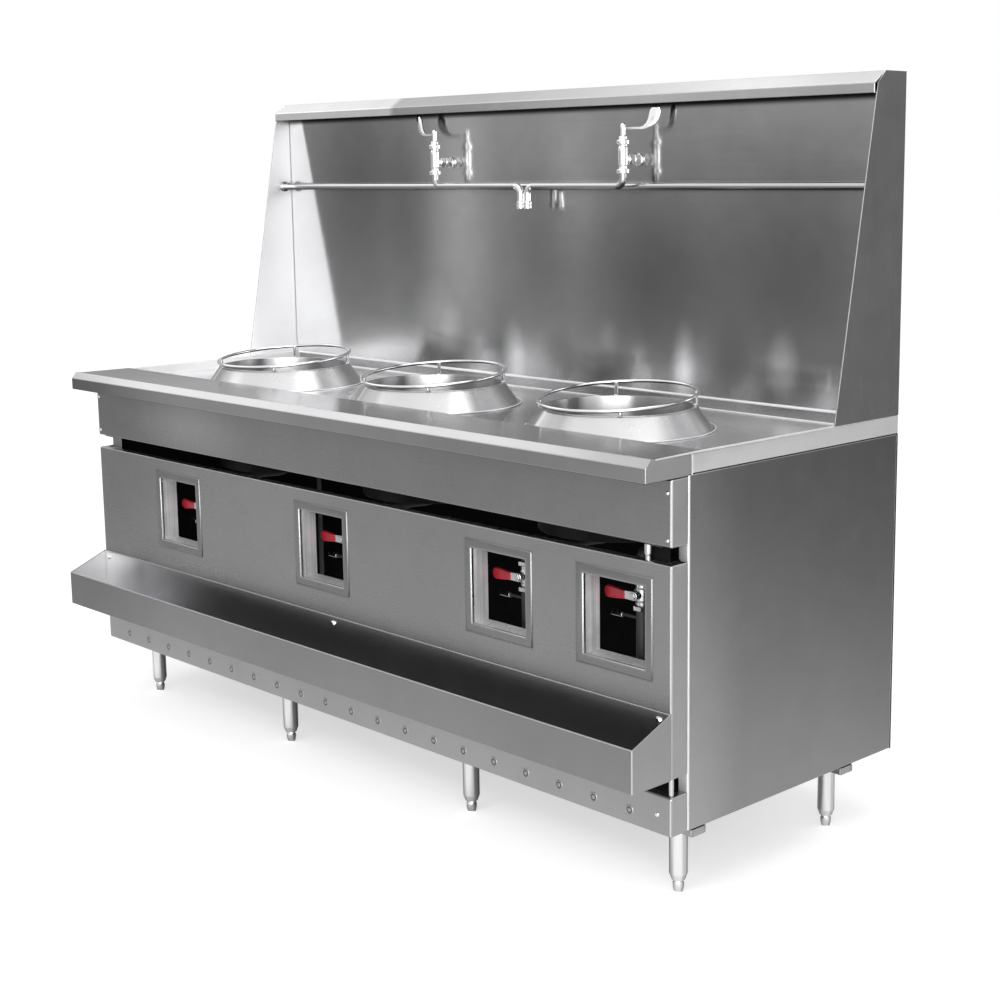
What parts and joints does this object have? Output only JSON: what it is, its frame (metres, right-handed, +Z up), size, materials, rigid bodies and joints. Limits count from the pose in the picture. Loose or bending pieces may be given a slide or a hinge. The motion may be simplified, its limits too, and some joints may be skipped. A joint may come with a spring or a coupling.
{
  "type": "wok range",
  "caption": "Free-standing stainless gas wok range with sunk deck, conical chambers with wire rings, valve windows, condiment tray, tall splash and swing-spout taps.",
  "frame": {"origin": "on the floor, under the middle of the bounding box", "axes": "+X to the right along the length, +Y to the wall behind, +Z up; the cook stands on the -Y side"},
  "size_m": [2.148, 0.857, 1.651],
  "materials": {
    "deck": "brushed",
    "casing": "brushed",
    "trim": "satin",
    "polished": "polished",
    "wire": "bright",
    "drum": "heat-darkened steel",
    "burner": "as cast",
    "gas_pipe": "black pipe",
    "valve": "plated",
    "lever": "red sleeve on steel",
    "tap": "bright plated"
  },
  "bodies": {
    "range_body": {"deck_top": "deck", "apron_panel": "casing", "valve_panel": "casing", "kick_panel": "trim", "condiment_tray": "casing", "side_panel_left": "casing", "side_panel_right": "casing", "rear_panel": "trim", "collar_1": "polished", "chamber_1": "drum", "wok_ring_1": "wire", "burner_1": "burner", "collar_2": "polished", "chamber_2": "drum", "wok_ring_2": "wire", "burner_2": "burner", "collar_3": "polished", "chamber_3": "drum", "wok_ring_3": "wire", "burner_3": "burner", "gas_manifold": "gas_pipe", "gas_inlet": "gas_pipe", "valve_body_1": "valve", "valve_body_2": "valve", "valve_body_3": "valve", "valve_body_4": "valve", "splash_back": "casing", "splash_side_left": "casing", "splash_side_right": "casing", "splash_rear": "trim", "top_cap": "trim", "rail_pipe": "polished", "tap_body_1": "tap", "tap_body_2": "tap", "cross_channel_front": "trim", "cross_channel_rear": "trim", "leg_front_1": "polished", "leg_front_2": "polished", "leg_front_3": "polished", "leg_front_4": "polished", "leg_rear_1": "polished", "leg_rear_2": "polished", "leg_rear_3": "polished", "leg_rear_4": "polished"},
    "valve_lever_1": {"valve_lever_1": "lever"},
    "valve_lever_2": {"valve_lever_2": "lever"},
    "valve_lever_3": {"valve_lever_3": "lever"},
    "valve_lever_4": {"valve_lever_4": "lever"},
    "tap_handle_1": {"tap_handle_1": "tap"},
    "tap_handle_2": {"tap_handle_2": "tap"},
    "swing_spout_1": {"swing_spout_1": "tap"},
    "swing_spout_2": {"swing_spout_2": "tap"},
    "foot_front_1": {"foot_front_1": "polished"},
    "foot_front_2": {"foot_front_2": "polished"},
    "foot_front_3": {"foot_front_3": "polished"},
    "foot_front_4": {"foot_front_4": "polished"},
    "foot_rear_1": {"foot_rear_1": "polished"},
    "foot_rear_2": {"foot_rear_2": "polished"},
    "foot_rear_3": {"foot_rear_3": "polished"},
    "foot_rear_4": {"foot_rear_4": "polished"}
  },
  "joints": [
    {"name": "valve_turn_1", "type": "hinge", "parent": "range_body", "child": "valve_lever_1", "pos_m": [-0.685, -0.2455, 0.571], "axis": [0, -1, 0], "range_deg": [0, 90]},
    {"name": "valve_turn_2", "type": "hinge", "parent": "range_body", "child": "valve_lever_2", "pos_m": [-0.058, -0.2455, 0.574], "axis": [0, -1, 0], "range_deg": [0, 90]},
    {"name": "valve_turn_3", "type": "hinge", "parent": "range_body", "child": "valve_lever_3", "pos_m": [0.569, -0.2455, 0.583], "axis": [0, -1, 0], "range_deg": [0, 90]},
    {"name": "valve_turn_4", "type": "hinge", "parent": "range_body", "child": "valve_lever_4", "pos_m": [0.91, -0.2455, 0.601], "axis": [0, -1, 0], "range_deg": [0, 90]},
    {"name": "tap_turn_1", "type": "hinge", "parent": "range_body", "child": "tap_handle_1", "pos_m": [-0.336, 0.311, 1.54], "axis": [0, 0, 1], "range_deg": [0, 90]},
    {"name": "tap_turn_2", "type": "hinge", "parent": "range_body", "child": "tap_handle_2", "pos_m": [0.356, 0.311, 1.54], "axis": [0, 0, -1], "range_deg": [0, 90]},
    {"name": "spout_swing_1", "type": "hinge", "parent": "range_body", "child": "swing_spout_1", "pos_m": [-0.336, 0.311, 1.442], "axis": [0, 0, -1], "range_deg": [0, 180]},
    {"name": "spout_swing_2", "type": "hinge", "parent": "range_body", "child": "swing_spout_2", "pos_m": [0.356, 0.311, 1.442], "axis": [0, 0, 1], "range_deg": [0, 180]},
    {"name": "foot_screw_front_1", "type": "slide", "parent": "range_body", "child": "foot_front_1", "axis": [0, 0, 1], "range_m": [-0.025, 0]},
    {"name": "foot_screw_front_2", "type": "slide", "parent": "range_body", "child": "foot_front_2", "axis": [0, 0, 1], "range_m": [-0.025, 0]},
    {"name": "foot_screw_front_3", "type": "slide", "parent": "range_body", "child": "foot_front_3", "axis": [0, 0, 1], "range_m": [-0.025, 0]},
    {"name": "foot_screw_front_4", "type": "slide", "parent": "range_body", "child": "foot_front_4", "axis": [0, 0, 1], "range_m": [-0.025, 0]},
    {"name": "foot_screw_rear_1", "type": "slide", "parent": "range_body", "child": "foot_rear_1", "axis": [0, 0, 1], "range_m": [-0.025, 0]},
    {"name": "foot_screw_rear_2", "type": "slide", "parent": "range_body", "child": "foot_rear_2", "axis": [0, 0, 1], "range_m": [-0.025, 0]},
    {"name": "foot_screw_rear_3", "type": "slide", "parent": "range_body", "child": "foot_rear_3", "axis": [0, 0, 1], "range_m": [-0.025, 0]},
    {"name": "foot_screw_rear_4", "type": "slide", "parent": "range_body", "child": "foot_rear_4", "axis": [0, 0, 1], "range_m": [-0.025, 0]}
  ]
}
